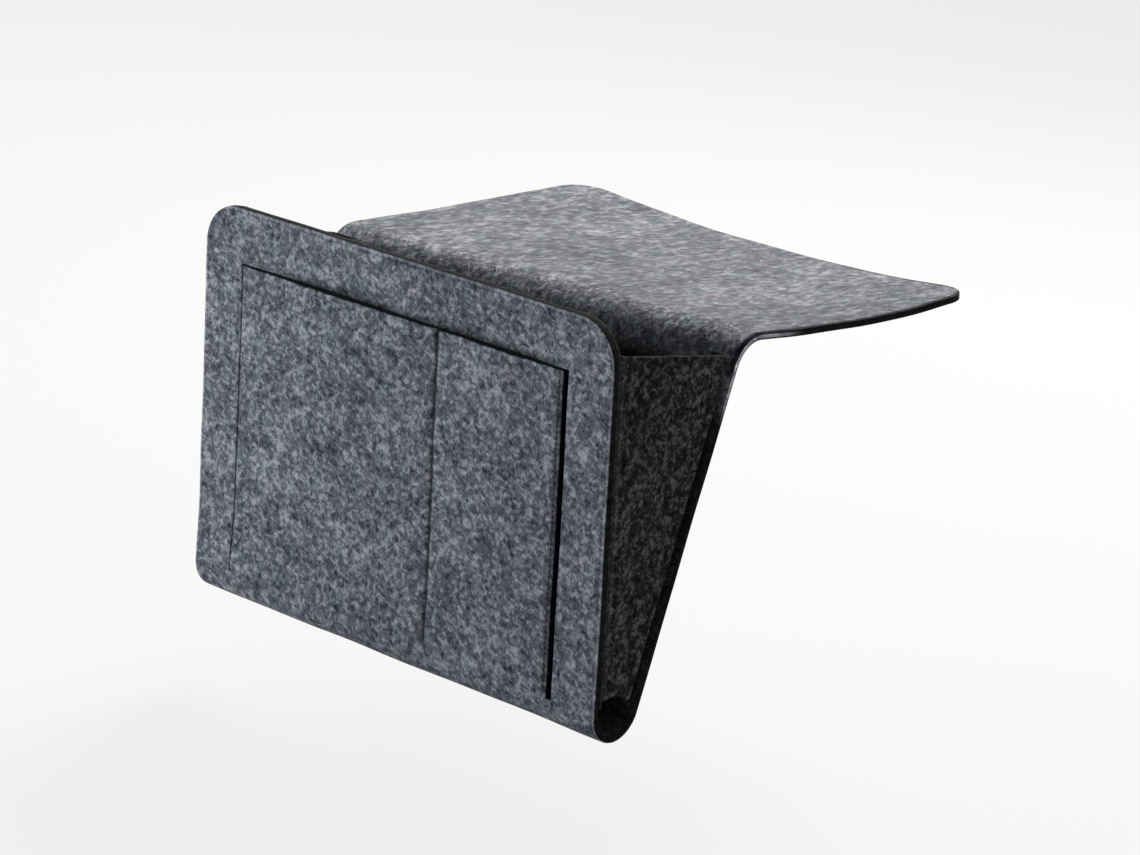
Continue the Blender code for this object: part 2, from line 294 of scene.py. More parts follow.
def slump(x, v):
    """How far the left end of the bend slides down along the back, and takes the flap with it."""
    from_bend = np.clip(1 - v / FLAP_LENGTH, 0.0, 1.0)
    fade = (1 - from_bend) * (1 - smooth(v, BEND_END, SLUMP_FADES_AT))
    return LEFT_SLUMP * (1 - x / HALF_WIDTH) / 2 * fade


def spread(points):
    """The bag grows a little wider towards its bottom."""
    x, y, z = np.moveaxis(points, -1, 0)
    down = (route_z.max() - z) / (route_z.max() - route_z.min())
    return np.stack([x * (1 + BOTTOM_SPREAD * np.clip(down, 0.0, 1.0)), y, z], axis=-1)


def skewed(x, v):
    """The slit runs out a little towards the bag's side on its way down."""
    near = np.clip(1 - np.abs(x - POCKET_LEFT) / (POCKET_LEFT + HALF_WIDTH), 0.0, 1.0)
    down = smooth(v, BACK_END, FOLD_END) * np.clip((FRONT_END - v) / FRONT_LENGTH, 0.0, 1.0)
    return x - SLIT_SKEW * near * down


def along_route(give, inset=0.0):
    """A function that puts flat points (x, v) on the strip's route, with that give, moved in by inset."""
    def place(x, v):
        heading = np.interp(v, route_at, route_heading)
        height = give(x, v) + inset
        slid = slump(x, v)
        y = np.interp(v, route_at, route_y) + height * np.sin(heading) - slid * math.sin(BACK_LEAN)
        z = np.interp(v, route_at, route_z) - height * np.cos(heading) - slid * math.cos(BACK_LEAN)
        return spread(np.stack([skewed(x, v), y, z], axis=-1))
    return place


print("flap's far edge dips to", round(float(strip_give(np.zeros(1), np.zeros(1))[0]) / MM, 1), "mm")

# %% [markdown]
# ## Cutting a sheet
# Each sheet starts as a flat grid of cells on the cutting table. Its rounded corners are made by
# bending the corner of the grid, not by trimming it, so that every cell keeps four sides and the
# cut edge has evenly spaced points. Cells inside a window are left out. The grid's points are then
# put in their place, Solidify gives the sheet its thickness, and Bevel softens the cut edges.
# A smaller softening suits a knife slit, and none suits an edge where two sheets join.

# %% Lay out grid lines
CELL = 4 * MM
EDGE_CELL = 3.6 * MM


def grid_lines(stops):
    """Lines through all the stops, with even cells no wider than CELL between them."""
    lines = [np.array([stops[0]])]
    for low, high in zip(stops, stops[1:]):
        count = max(1, math.ceil((high - low) / CELL - 1e-6))
        lines.append(np.linspace(low, high, count + 1)[1:])
    return np.concatenate(lines)


def edged_lines(low, high):
    """Lines from low to high, with a narrower cell at each end."""
    return grid_lines([low, low + EDGE_CELL, high - EDGE_CELL, high])


# %% Bend the corners of a grid
def round_corner(a, b, reach, radius):
    """Moves points of a square corner, reach wide and counted from its inner end, inside a rounded one."""
    def on_edge(t):
        walked = t / reach * (reach - radius + radius * math.pi / 4)
        angle = np.clip(walked - (reach - radius), 0.0, None) / radius
        along = np.minimum(walked, reach - radius) + radius * np.sin(angle)
        return reach - radius + radius * np.cos(angle), along

    s, t = a / reach, b / reach
    side_a, side_b = on_edge(b)
    end_b, end_a = on_edge(a)
    tip = reach - radius + radius * math.cos(math.pi / 4)
    new_a = s * side_a + (1 - t) * a + t * end_a - s * (1 - t) * reach - s * t * tip
    new_b = (1 - s) * b + s * side_b + t * end_b - (1 - s) * t * reach - s * t * tip
    return new_a, new_b


CORNER_REACH = 1.25


def cut_corners(x, v, half_width, ends, radius):
    """Rounds the grid's corners at the given ends, each a distance along the strip and its inward sign."""
    reach = CORNER_REACH * radius
    for end, inward in ends:
        a = np.abs(x) - (half_width - reach)
        b = reach - (v - end) * inward
        corner = (a > 0) & (b > 0)
        new_a, new_b = round_corner(a[corner], b[corner], reach, radius)
        side = np.sign(x[corner])
        x[corner] = side * (half_width - reach + new_a)
        v[corner] = end + (reach - new_b) * inward
    return x, v


# %% Give a sheet its thickness
EDGE_ROUND = 0.9 * MM
SLIT_ROUND = 0.35 * MM
ROUND_STEPS = 3
JOIN, KNIFE, CUT = 0.0, SLIT_ROUND / EDGE_ROUND, 1.0


def settle(piece):
    """Turns a piece's modifiers into its mesh."""
    graph = bpy.context.evaluated_depsgraph_get()
    mesh = bpy.data.meshes.new_from_object(piece.evaluated_get(graph))
    piece.modifiers.clear()
    piece.data = mesh


def store(mesh, name, values):
    """Keeps one vector for each point of a mesh, for its finish to read."""
    attribute = mesh.attributes.get(name) or mesh.attributes.new(name, "FLOAT_VECTOR", "POINT")
    attribute.data.foreach_set("vector", np.asarray(values, np.float32).ravel())


def read(mesh, name):
    return np.array([point.vector for point in mesh.attributes[name].data])


def points_of(mesh):
    return np.array([corner.co for corner in mesh.vertices])


def directions(place, x, v):
    """A sheet's directions across, along and up at flat points, up being the inner face's side."""
    step = 0.5 * MM
    across = place(x + step, v) - place(x - step, v)
    along = place(x, v + step) - place(x, v - step)
    across /= np.linalg.norm(across, axis=1, keepdims=True)
    along /= np.linalg.norm(along, axis=1, keepdims=True)
    return across, along, np.cross(along, across)


def lay_flat_again(mesh, place):
    """Each point's place in the flat felt: across, along, and up through its thickness."""
    flat = read(mesh, "felt")
    x, v = flat[:, 0], flat[:, 1]
    off = points_of(mesh) - place(x, v)
    moves = [(off * direction).sum(axis=1) for direction in directions(place, x, v)]
    store(mesh, "felt", np.stack([x + moves[0], v + moves[1], moves[2]], axis=1))


def thicken(piece, thickness):
    solid = piece.modifiers.new("thickness", "SOLIDIFY")
    solid.thickness = thickness
    solid.offset = 0.0
    solid.use_even_offset = True
    soft = piece.modifiers.new("soft edges", "BEVEL")
    soft.limit_method = "WEIGHT"
    soft.width = EDGE_ROUND
    soft.segments = ROUND_STEPS
    settle(piece)


# %% Build a sheet from a grid
def raise_sheet(name, places, flat, cells, mark_rim, thickness):
    """A thick piece from the places of flat points and cells of their numbers.
    A function marks its rim: how soft each edge is, and each point's number for its finish."""
    mesh = bpy.data.meshes.new(name)
    mesh.from_pydata(places.tolist(), [], cells)
    store(mesh, "felt", np.column_stack([flat, np.zeros(len(flat))]))
    shape = bmesh.new()
    shape.from_mesh(mesh)
    weight = shape.edges.layers.float.new("bevel_weight_edge")
    rim = shape.verts.layers.float.new("rim")
    shape.verts.index_update()
    mark_rim(shape, weight, rim)
    bmesh.ops.delete(shape, geom=[v for v in shape.verts if not v.link_faces], context="VERTS")
    shape.to_mesh(mesh)
    shape.free()
    piece = add_object(name, mesh)
    thicken(piece, thickness)
    return piece


def build_sheet(name, flat, cells, place, edge_kind, thickness):
    """A piece of felt from flat points, cells of their numbers, and a kind for each edge on its rim."""
    def mark_rim(shape, weight, rim):
        for edge in shape.edges:
            if edge.is_boundary:
                start, end = (flat[corner.index] for corner in edge.verts)
                edge[weight] = edge_kind((start + end) / 2)
                edge.smooth = edge[weight] > JOIN
                for corner in edge.verts:
                    corner[rim] = max(corner[rim], float(edge[weight] == CUT))

    piece = raise_sheet(name, place(flat[:, 0], flat[:, 1]), flat, cells, mark_rim, thickness)
    lay_flat_again(piece.data, place)
    piece.data.shade_smooth()
    print(name, len(piece.data.polygons), "faces")
    return piece


def grid_sheet(name, columns, rows, place, edge_kind, thickness, window=None, round_ends=(), radius=0.0):
    """A sheet on a grid of columns and rows, less the cells whose middle lies in the window."""
    x, v = (values.ravel() for values in np.meshgrid(columns, rows))
    half_width = np.abs(columns).max()
    middles_x = (columns[1:] + columns[:-1]) / 2
    middles_v = (rows[1:] + rows[:-1]) / 2
    wide = len(columns)
    cells = [
        (r * wide + c, (r + 1) * wide + c, (r + 1) * wide + c + 1, r * wide + c + 1)
        for r in range(len(rows) - 1)
        for c in range(wide - 1)
        if window is None or not window(middles_x[c], middles_v[r])
    ]
    x, v = cut_corners(x, v, half_width, round_ends, radius)
    return build_sheet(name, np.stack([x, v], axis=1), cells, place, edge_kind, thickness)


# %% [markdown]
# ## Shader maths
# A felt finish is mostly arithmetic on patterns, and that reads best as expressions. The class
# below wraps a socket, so that adding or multiplying two of them adds the Math node that does it.
# A finish is a material with one method that makes any other node.

# %% Wrap sockets for arithmetic
class Signal:
    """A value in a material's graph, ready for arithmetic."""

    def __init__(self, finish, socket):
        self.finish = finish
        self.socket = socket

    def combine(self, operation, *others):
        return self.finish.node("ShaderNodeMath", {"operation": operation}, self, *others)

    def __add__(self, other):
        return self.combine("ADD", other)

    def __sub__(self, other):
        return self.combine("SUBTRACT", other)

    def __mul__(self, other):
        return self.combine("MULTIPLY", other)

    def __rsub__(self, other):
        return self.finish.node("ShaderNodeMath", {"operation": "SUBTRACT"}, other, self)

    __radd__ = __add__
    __rmul__ = __mul__

    def __abs__(self):
        return self.combine("ABSOLUTE")

    def power(self, other):
        return self.combine("POWER", other)

    def largest(self, other):
        return self.combine("MAXIMUM", other)

    def between(self, low, high):
        """0 at low and 1 at high, softly, and held there beyond them."""
        settings = {"interpolation_type": "SMOOTHSTEP", "clamp": True}
        ends = {"From Min": low, "From Max": high}
        return self.finish.node("ShaderNodeMapRange", settings, Value=self, **ends)


class Finish:
    """A node material under construction."""

    def __init__(self, name, colour, roughness):
        self.material = bpy.data.materials.new(name)
        self.material.use_nodes = True
        self.tree = self.material.node_tree
        self.shader = self.tree.nodes["Principled BSDF"]
        self.shader.inputs["Roughness"].default_value = roughness
        self.material.diffuse_color = (*colour, 1.0)

    def put(self, socket, value):
        if isinstance(value, Signal):
            self.tree.links.new(value.socket, socket)
        elif hasattr(socket.default_value, "__len__") and len(value) < len(socket.default_value):
            socket.default_value = (*value, 1.0)
        else:
            socket.default_value = value

    def node(self, kind, settings, *values, out=0, **named):
        """Any node: its settings first, then its sockets by order or by name. Returns one output."""
        made = self.tree.nodes.new(kind)
        for key, value in settings.items():
            if key == "stops":
                self.set_stops(made.color_ramp, value)
            else:
                setattr(made, key, value)
        live = [socket for socket in made.inputs if socket.enabled]
        for socket, value in zip(live, values):
            self.put(socket, value)
        for name, value in named.items():
            self.put(next(socket for socket in live if socket.name == name), value)
        shown = [socket for socket in made.outputs if socket.enabled]
        return Signal(self, shown[out])

    def set_stops(self, ramp, stops):
        while len(ramp.elements) < len(stops):
            ramp.elements.new(0.5)
        for element, (at, colour) in zip(ramp.elements, stops):
            element.position = at
            element.color = (*colour, 1.0)

    def set(self, **inputs):
        sockets = {socket.name.lower().replace(" ", "_"): socket for socket in self.shader.inputs}
        for name, value in inputs.items():
            self.put(sockets[name], value)


# %% [markdown]
# ## The felt finish
# This felt is pressed from light and dark wool, so its colour is a blend of small clumps with
# single fibres lying over them every way. Its fibres lie in the sheet, so the patterns are laid
# out in the flat felt's own measures, which each sheet keeps from its cutting: they run on over
# folds and joins and stay put when the bag moves. Clumps are a soft noise. Fibres are noise drawn
# out in four directions, of which only the peaks are kept. The same patterns raise the surface a
# little. The flap's wool is calmer: its clumps run longer along the strip, and fewer fibres show.
# Along a cut the fibre ends are seen end on, and there the colour is darkened as a painted shade. Each
# point also keeps a number for its rim: 1 at a softened cut, or on a gusset -1, 1 and 2 before, on and
# past its front fold. Painted highlights and painted shade along the rims and the fold follow these
# numbers.

# %% Draw fibres
CLUMP_SIZE = 3.8 * MM
FLECK_SIZE = 0.55 * CLUMP_SIZE
FIBRE_LENGTH = 4.8 * MM
FIBRE_WIDTH = 1.5 * MM
PATCH_SIZE = 13 * MM
TINT_SIZE = 0.7 * PATCH_SIZE
CLOUD_SIZE = 60 * MM
PALE_FIBRES = ((0.7, 0.1), (-0.9, 0.4))
DEEP_FIBRES = ((1.5, 0.7), (0.2, 1.1))
FIBRE_PEAKS = (0.50, 0.78)
FLECK_PEAKS = (0.68, 0.80)
TINT_STEP = (0.35, 0.65)
TINTS = ((1.03, 0.98, 1.0), (0.95, 1.02, 1.0))
CLUMPS, HAIRS, PATCHES, FLECKS, CLOUDS = 1.1, 0.24, 0.35, 0.12, 0.3


def pattern(finish, vector, scale, detail=2.0, distortion=0.0):
    settings = {"noise_dimensions": "3D"}
    named = {"Vector": vector, "Scale": scale, "Detail": detail, "Distortion": distortion}
    return finish.node("ShaderNodeTexNoise", settings, **named)


def fibres(finish, felt, angle, shift):
    """A noise drawn out along one direction in the sheet."""
    turned = finish.node(
        "ShaderNodeMapping", {"vector_type": "POINT"},
        Vector=felt, Rotation=(0.0, 0.0, angle), Location=(shift, shift, shift),
    )
    drawn = finish.node(
        "ShaderNodeVectorMath", {"operation": "MULTIPLY"},
        turned, (1 / FIBRE_LENGTH, 1 / FIBRE_WIDTH, 1 / FIBRE_WIDTH),
    )
    return pattern(finish, drawn, 1.0, detail=1.0, distortion=0.5)


def fibre_peaks(finish, felt, ways):
    """The peaks of two sets of fibres, each with its angle and its shift."""
    first, second = (fibres(finish, felt, angle, shift) for angle, shift in ways)
    return first.largest(second).between(*FIBRE_PEAKS)


# %% Make a felt
SHEEN = 0.04
SHEEN_ROUGHNESS = 0.5
GLOSS = 0.03
BUMP = 0.4 * MM
FLAP_GRAIN = 0.45
FLAP_CALM = 0.33
FLAP_BALD = 0.55
FLAP_FADE = (FLAP_END - 20 * MM, FLAP_END + 20 * MM)
WANDER = 2.0 * MM
WANDER_SIZE = 7 * MM
FACE_DEPTH = (0.6 * MM, 0.1 * MM)
FACE_TURN = 0.5 * MM
CORE_SHARE = (0.15, 0.32)
HIGHLIGHT_RIM = (0.45, 0.65)
PAST_FOLD = (1.1, 1.9)
PAST_FOLD_SHADE = 0.9
BEFORE_FOLD = (-0.9, -0.3)
BEFORE_FOLD_SHADE = 0.5
CUT_HIGHLIGHT = 3.5


def blend_colours(finish, kind, factor, a, b):
    settings = {"data_type": "RGBA", "blend_type": kind}
    return finish.node("ShaderNodeMix", settings, Factor=factor, A=a, B=b)


def felt_colour(finish, felt, shades, contrast, hairs):
    """Clumps and fibres of three shades."""
    clumps = pattern(finish, felt, 1 / CLUMP_SIZE, detail=1.5, distortion=0.5)
    patches = pattern(finish, felt, 1 / PATCH_SIZE, detail=1.0)
    cloud = pattern(finish, felt, 1 / CLOUD_SIZE, detail=1.0)
    hair = fibre_peaks(finish, felt, PALE_FIBRES) - fibre_peaks(finish, felt, DEEP_FIBRES)
    fleck = pattern(finish, felt, 1 / FLECK_SIZE, detail=0.0).between(*FLECK_PEAKS)
    tone = 0.5 + (clumps - 0.5) * (CLUMPS * contrast) + hair * (HAIRS * contrast * hairs)
    tone = tone + (patches - 0.5) * (PATCHES * contrast) + (cloud - 0.5) * CLOUDS
    tone = tone + fleck * (FLECKS * contrast)
    colour = finish.node("ShaderNodeValToRGB", {"stops": list(zip((0.0, 0.5, 1.0), shades))}, tone)
    tint = pattern(finish, felt, 1 / TINT_SIZE, detail=1.0, distortion=0.4).between(*TINT_STEP)
    hue = blend_colours(finish, "MIX", tint, *TINTS)
    return blend_colours(finish, "MULTIPLY", 1.0, colour, hue), clumps * 0.5 + hair * 0.3


def grey(tone):
    return (tone, tone, tone)


def outer_face(z):
    """1 on the sheet's outer face and 0 on its inner one, with a step in the middle of its thickness."""
    return 1 - z.between(-FACE_TURN, FACE_TURN)


DARK = grey(0.002)


def make_felt(name, shades, thickness, contrast, cut, rim_highlight=0.0, cut_highlight=None, shaded=None):
    """A melange felt. Cut gives the tone of a cut's sides and of its middle, which darkens the cut as
    painted shade, and the next argument the strength of a painted highlight along a rim. The two functions
    of a place in the felt say where the cut gets a painted highlight and where the face gets painted shade."""
    finish = Finish(name, shades[1], 0.95)
    felt = finish.node("ShaderNodeAttribute", {"attribute_name": "felt"}, out=1)
    rim = finish.node("ShaderNodeAttribute", {"attribute_name": "rim"}, out=2)
    x, v, z = (finish.node("ShaderNodeSeparateXYZ", {}, felt, out=part) for part in range(3))
    hairs = 1.0
    if shaded:
        drawn_out = v.largest(v * FLAP_GRAIN + (1 - FLAP_GRAIN) * FLAP_END)
        felt = finish.node("ShaderNodeCombineXYZ", {}, x, drawn_out, z)
        on_flap = 1 - v.between(*FLAP_FADE)
        contrast = contrast * (1 - FLAP_CALM * on_flap)
        hairs = 1 - FLAP_BALD * on_flap
    colour, height = felt_colour(finish, felt, shades, contrast, hairs)
    if shaded:
        # Painted shade: the face is blended towards near black where the shading function says.
        wander = (pattern(finish, felt, 1 / WANDER_SIZE) - 0.5) * WANDER
        colour = blend_colours(finish, "MIX", shaded(x + wander, v - wander, z, rim), colour, DARK)
    depth = abs(z)
    face = depth.between(*(thickness / 2 - below for below in FACE_DEPTH))
    # Painted highlight: a lighter band on the outer face along a softened cut, and along a gusset's front
    # fold.
    light = rim.between(*HIGHLIGHT_RIM) * face * outer_face(z) * rim_highlight
    colour = blend_colours(finish, "ADD", light, colour, shades[2])
    # Painted shade in the gusset's creases, before and past its front fold.
    before = (1 - rim.between(*BEFORE_FOLD)) * BEFORE_FOLD_SHADE
    fold_crease_shade = (rim.between(*PAST_FOLD) * PAST_FOLD_SHADE).largest(before)
    colour = blend_colours(finish, "MIX", fold_crease_shade, colour, DARK)
    # Painted shade on a cut's faces: their colour is multiplied down towards the cut's tone.
    core = 1 - depth.between(*(share * thickness for share in CORE_SHARE))
    tone = blend_colours(finish, "MIX", core, grey(cut[0]), grey(cut[1]))
    # Painted highlight on the cut faces round the bend.
    if cut_highlight:
        tone = blend_colours(finish, "MIX", cut_highlight(x, v) * core, tone, grey(CUT_HIGHLIGHT))
    colour = blend_colours(finish, "MULTIPLY", 1 - face, colour, tone)
    bump = finish.node("ShaderNodeBump", {}, Strength=0.5, Distance=BUMP, Height=height)
    finish.set(base_color=colour, normal=bump, specular_ior_level=GLOSS)
    finish.set(sheen_weight=SHEEN, sheen_roughness=SHEEN_ROUGHNESS)
    return finish.material


# %% [markdown]
# ## Where shade is painted on the felt
# Each place of painted shade lies in soft spans across the strip, along it or through its thickness.
# Where several overlap, the strongest one counts.

# %% Say where the strip's cut gets a painted highlight and where its face gets painted shade
CUT_HIGHLIGHT_ALONG = ((FLAP_END - 45 * MM, FLAP_END), (BEND_END, BEND_END + 38 * MM))
CUT_HIGHLIGHT_LEFT = 0.3
LIP_SHADE = 0.75
LIP_SHADE_POWER = 1.5
LIP_SHADE_ABOVE = (POCKET_MOUTH, POCKET_MOUTH + 10 * MM)
LIP_SHADE_FROM = (POCKET_MOUTH - 1 * MM, POCKET_MOUTH)
LIP_SHADE_ACROSS = ((-125 * MM, -70 * MM), (100 * MM, 128 * MM))
MOUTH_SHADE = 0.92
MOUTH_LINE = (
    (POCKET_MOUTH - 0.9 * MM, POCKET_MOUTH - 0.1 * MM),
    (POCKET_MOUTH + 0.8 * MM, POCKET_MOUTH + 1.5 * MM),
)
MOUTH_ACROSS = ((POCKET_LEFT, POCKET_LEFT + 8 * MM), (POCKET_RIGHT, POCKET_RIGHT + 2 * MM))
LINES_ALONG = ((POCKET_FOOT, POCKET_FOOT + 8 * MM), (POCKET_MOUTH, POCKET_MOUTH + 1 * MM))
SEAM_SHADE = 0.92
SEAM_BESIDE = (0.8 * MM, 3.0 * MM)
SLOT_SHADE = 0.45
SLOT_ACROSS = ((POCKET_RIGHT - 7 * MM, POCKET_RIGHT - 2 * MM), (POCKET_RIGHT, POCKET_RIGHT + 1 * MM))
SLIT_SHADE = 0.4
SLIT_BESIDE = (0.4 * MM, 1.3 * MM)
SLIT_FROM = (POCKET_FOOT + 3 * MM, POCKET_FOOT + 14 * MM)
CREASE_SHADE = 0.85
CREASE_ACROSS = (HALF_WIDTH - 9 * MM, HALF_WIDTH - 4.5 * MM)
CREASE_FROM = (BEND_END + 20 * MM, BEND_END + 35 * MM)
FOLD_SHADE_FROM = (BACK_END - 20 * MM, BACK_END)
INSIDE_SHADE = 0.97
INSIDE_FROM = (BEND_END - 2 * MM, BEND_END + 10 * MM)
INSIDE_RIGHT = (105 * MM, 135 * MM)
DEEP_SHADE = 0.8
DEEP_FROM = (BEND_END + 45 * MM, BEND_END + 95 * MM)
INNER_FACE = (1.0 * MM, 1.6 * MM)
RIM_SHADE = 0.3
RIM_LINE = ((0.03, 0.2), (0.3, 0.5))
FLAP_RIM = (0.0, 0.35)
FLAP_RIM_ACROSS = (0.0, 120 * MM)
FLAP_RIM_TO = (BEND_END, BEND_END + 10 * MM)


def span(value, rise, fall):
    """1 from the end of its rise to the start of its fall, and 0 outside both, softly."""
    return value.between(*rise) * (1 - value.between(*fall))


def bend_cut_highlight(x, v):
    """The cut edge round the bend gets a painted highlight, stronger on the right."""
    return span(v, *CUT_HIGHLIGHT_ALONG) * (CUT_HIGHLIGHT_LEFT + (1 - CUT_HIGHLIGHT_LEFT) * x.between(-HALF_WIDTH, HALF_WIDTH))


def dark_round_pocket(x, v):
    """Shade above the mouth and in it, along the divider's seam, beside the slot and at the slit."""
    above = (1 - v.between(*LIP_SHADE_ABOVE)).power(LIP_SHADE_POWER)
    lip = above * v.between(*LIP_SHADE_FROM) * span(x, *LIP_SHADE_ACROSS)
    mouth = span(v, *MOUTH_LINE) * span(x, *MOUTH_ACROSS)
    seam = 1 - abs(x - DIVIDER).between(*SEAM_BESIDE)
    slot = span(x, *SLOT_ACROSS)
    slit = (1 - abs(x - (POCKET_LEFT - SLIT / 2)).between(*SLIT_BESIDE)) * v.between(*SLIT_FROM)
    lines = (seam * SEAM_SHADE).largest(slot * SLOT_SHADE).largest(slit * SLIT_SHADE)
    return (lip * LIP_SHADE).largest(mouth * MOUTH_SHADE).largest(lines * span(v, *LINES_ALONG))


def dark_inside(x, v):
    """Shade on the felt's inner face: along the gussets' creases, in the bottom fold and in the bag."""
    creases = v.between(*CREASE_FROM) * abs(x).between(*CREASE_ACROSS)
    in_bag = v.between(*INSIDE_FROM) * (1 - x.between(*INSIDE_RIGHT))
    in_bag = in_bag * (INSIDE_SHADE - v.between(*DEEP_FROM) * (INSIDE_SHADE - DEEP_SHADE))
    return (creases.largest(v.between(*FOLD_SHADE_FROM)) * CREASE_SHADE).largest(in_bag)


def dark_places(x, v, z, rim):
    """All the painted shade on the strip's faces, with the dark line inside its rim."""
    outer, inner = outer_face(z), z.between(*INNER_FACE)
    # Painted shade: a dark line on the outer face just inside the rim.
    rim_line_shade = span(rim, *RIM_LINE) * outer * RIM_SHADE
    # Painted shade along the right rim of the flap's top face, up to the bend.
    flap_rim_shade = rim.between(*FLAP_RIM) * inner * x.between(*FLAP_RIM_ACROSS) * (1 - v.between(*FLAP_RIM_TO))
    on_faces = (dark_round_pocket(x, v) * outer).largest(dark_inside(x, v) * inner)
    return on_faces.largest(rim_line_shade).largest(flap_rim_shade * CREASE_SHADE)


grey_felt = make_felt(
    "grey_felt_blend", ((0.034, 0.039, 0.054), (0.178, 0.187, 0.222), (0.54, 0.545, 0.60)), FELT, 1.38,
    cut=(0.03, 0.05), rim_highlight=0.15, cut_highlight=bend_cut_highlight, shaded=dark_places,
)
LINING = 3 * MM
lining_felt = make_felt(
    "lining_felt_blend", ((0.010, 0.012, 0.011), (0.038, 0.042, 0.040), (0.12, 0.128, 0.124)), LINING, 1.2,
    cut=(0.10, 0.85),
)
charcoal_felt = make_felt(
    "charcoal_felt_blend", ((0.005, 0.005, 0.006), (0.031, 0.030, 0.0355), (0.15, 0.145, 0.165)), LINING,
    1.9, cut=(0.2, 0.3), rim_highlight=0.28,
)
print("felts:", [felt.name for felt in (grey_felt, lining_felt, charcoal_felt)])


def dress(piece, material):
    """Gives a piece its finish."""
    piece.data.materials.append(material)
    return piece


# %% [markdown]
# ## The outer strip
# The strip is one sheet on the real bag, and it moves at two folds. It moves at two folds, and a sheet
# here can bend across one joint only, so it is made in two: the flap with the upper back, and the
# lower back with the bottom and the front. They meet in the middle of the back on one row of shared
# places, with no rounding, so that no line shows.

# %% Cut the flap and the upper back
FLAP_CORNER = 26 * MM
FRONT_CORNER = 27 * MM
STRIP_MEETS = (BEND_END + BACK_END) / 2
strip_place = along_route(strip_give)
ALMOST = 0.01 * MM
BEND_CELLS = 8
FOLD_CELLS = 18


def flap_edges(spot):
    return JOIN if spot[1] > STRIP_MEETS - ALMOST else CUT


flap_rows = grid_lines([0.0, EDGE_CELL, FLAP_END])
bend_rows = np.linspace(FLAP_END, BEND_END, BEND_CELLS + 1)[1:]
back_rows = grid_lines([BEND_END, STRIP_MEETS])[1:]
upper_strip = grid_sheet(
    "felt_flap_and_upper_back", edged_lines(-HALF_WIDTH, HALF_WIDTH),
    np.concatenate([flap_rows, bend_rows, back_rows]), strip_place, flap_edges, FELT,
    round_ends=[(0.0, 1.0)], radius=FLAP_CORNER,
)
dress(upper_strip, grey_felt)

# %% Cut the lower back, the bottom and the front
window_left = POCKET_LEFT - SLIT
window_right = POCKET_RIGHT + SLOT
window_top = POCKET_MOUTH + MOUTH_GAP


def in_window(x, v):
    return window_left < x < window_right and POCKET_FOOT < v < window_top


def front_edges(spot):
    x, v = spot
    on_foot = abs(v - POCKET_FOOT) < ALMOST and POCKET_LEFT < x < POCKET_RIGHT
    if v < STRIP_MEETS + ALMOST or on_foot:
        return JOIN
    inside_x = window_left - ALMOST < x < window_right + ALMOST
    inside_v = POCKET_FOOT - ALMOST < v < window_top + ALMOST
    return KNIFE if inside_x and inside_v else CUT


front_columns = grid_lines([
    -HALF_WIDTH, -HALF_WIDTH + EDGE_CELL, window_left - EDGE_CELL, window_left, POCKET_LEFT,
    DIVIDER, POCKET_RIGHT, window_right, window_right + EDGE_CELL, HALF_WIDTH - EDGE_CELL, HALF_WIDTH,
])
fold_rows = np.linspace(BACK_END, FOLD_END, FOLD_CELLS + 1)
front_rows = grid_lines([
    FOLD_END, POCKET_FOOT, POCKET_FOOT + EDGE_CELL, window_top, window_top + EDGE_CELL,
    FRONT_END - EDGE_CELL, FRONT_END,
])
lower_strip = grid_sheet(
    "felt_lower_back_and_front", front_columns,
    np.concatenate([grid_lines([STRIP_MEETS, BACK_END]), fold_rows[1:], front_rows[1:]]),
    strip_place, front_edges, FELT, window=in_window, round_ends=[(FRONT_END, -1.0)], radius=FRONT_CORNER,
)
dress(lower_strip, grey_felt)

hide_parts("mattress_flap", "flap_bend", "back_panel")
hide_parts("bottom_fold", "front_panel")


def on_route(v):
    return Vector((0.0, float(np.interp(v, route_at, route_y)), float(np.interp(v, route_at, route_z))))


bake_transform(upper_strip)
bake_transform(lower_strip)

# %% [markdown]
# ## The pocket
# The pocket is cut from the front itself: a slit on the left, the mouth along the top and an open
# slot on the right, where a lead can pass. Its foot runs on into the front, so its lowest row
# shares the front's places and has no rounding. Above, it stands proud between its seams.

# %% Cut the pocket
def pocket_edges(spot):
    return JOIN if spot[1] < POCKET_FOOT + ALMOST else KNIFE


pocket_columns = grid_lines([
    POCKET_LEFT, POCKET_LEFT + EDGE_CELL, DIVIDER - 3 * MM, DIVIDER - 1 * MM, DIVIDER, DIVIDER + 1 * MM,
    DIVIDER + 3 * MM, POCKET_RIGHT - EDGE_CELL, POCKET_RIGHT,
])
pocket_rows = edged_lines(POCKET_FOOT, POCKET_MOUTH)
pocket_place = along_route(pocket_give)
pocket = grid_sheet("felt_pocket", pocket_columns, pocket_rows, pocket_place, pocket_edges, FELT)
dress(pocket, grey_felt)
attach(pocket, "front")
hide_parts("pocket_panel")

# %% [markdown]
# ## The lining
# A thinner dark felt backs the whole front. It closes the pocket from behind, and its edge shows
# as a second line beside the front's own edge.

# %% Cut the lining
LINING_INSET = 0.8 * MM
LINING_FOOT = FOLD_END + 4 * MM
LINING_GAP = 0.3 * MM
lining_half = HALF_WIDTH - LINING_INSET
lining_top = FRONT_END - LINING_INSET
lining_behind = FELT / 2 + LINING_GAP + LINING / 2


def lining_give(x, v):
    return lip_give(x, v) + waver(x, v)


lining = grid_sheet(
    "felt_lining", edged_lines(-lining_half, lining_half), edged_lines(LINING_FOOT, lining_top),
    along_route(lining_give, lining_behind), lambda spot: CUT, LINING,
    round_ends=[(lining_top, -1.0)], radius=FRONT_CORNER - LINING_INSET,
)
dress(lining, lining_felt)
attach(lining, "front")
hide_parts("front_lining")
